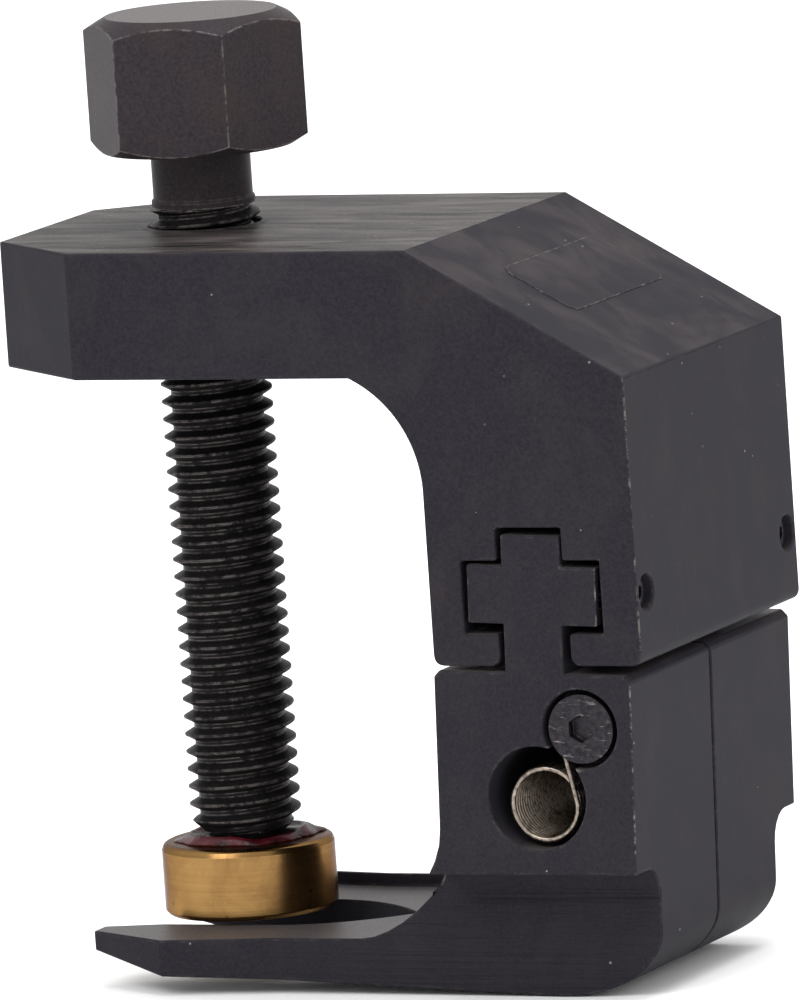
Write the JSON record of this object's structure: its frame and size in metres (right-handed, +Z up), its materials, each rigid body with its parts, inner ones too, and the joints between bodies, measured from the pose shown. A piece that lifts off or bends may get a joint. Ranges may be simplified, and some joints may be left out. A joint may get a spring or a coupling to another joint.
{
  "type": "c-frame puller",
  "caption": "Steel C-frame puller with a hex-headed pressure spindle, a swivelling brass cap and a spring-closed two-part fork that slides open in a cross-shaped slot.",
  "frame": {"origin": "middle of the brass cap's pressure face, on the spindle's axis, with the spindle screwed down to the fork", "axes": "+Z up along the spindle to its hex head, +X from the spindle to the frame's back, +Y from the front fork half to the rear one"},
  "size_m": [0.0499, 0.0288, 0.0683],
  "materials": {
    "frame_steel": "blackened, fine grained, worn bright on the edges",
    "jaw_steel": "blackened, milled flanks, bearing faces worn bright",
    "spindle_steel": "blackened, oily thread",
    "brass": "turned, slightly tarnished",
    "screw_steel": "dark, fine turned",
    "spring_steel": "bright drawn wire"
  },
  "bodies": {
    "frame": {"c_frame": "frame_steel", "stop_screw_front": "screw_steel", "stop_screw_rear": "screw_steel", "return_spring": "spring_steel"},
    "cap": {"thrust_cap": "brass"},
    "spindle": {"spindle": "spindle_steel", "cap_snap_ring": "spring_steel"},
    "front_jaw": {"jaw_front": "jaw_steel", "spring_screw_front": "screw_steel"},
    "rear_jaw": {"jaw_rear": "jaw_steel", "spring_screw_rear": "screw_steel"}
  },
  "joints": [
    {"name": "cap_slide", "type": "slide", "parent": "frame", "child": "cap", "axis": [0, 0, 1], "range_m": [0, 0.033]},
    {"name": "spindle_turn", "type": "hinge", "parent": "cap", "child": "spindle", "pos_m": [0, 0, 0], "axis": [0, 0, 1], "range_deg": [0, 9504]},
    {"name": "front_jaw_slide", "type": "slide", "parent": "frame", "child": "front_jaw", "axis": [0, -1, 0], "range_m": [0, 0.0047], "stiffness_N_per_m": 68, "springref_m": -0.012, "deforming": ["return_spring"]},
    {"name": "rear_jaw_slide", "type": "slide", "parent": "frame", "child": "rear_jaw", "axis": [0, 1, 0], "range_m": [0, 0.0047], "stiffness_N_per_m": 68, "springref_m": -0.012, "deforming": ["return_spring"]}
  ],
  "couplings": [
    {"joint": "spindle_turn", "follows": "cap_slide", "rad_per_m": 5026.5}
  ]
}
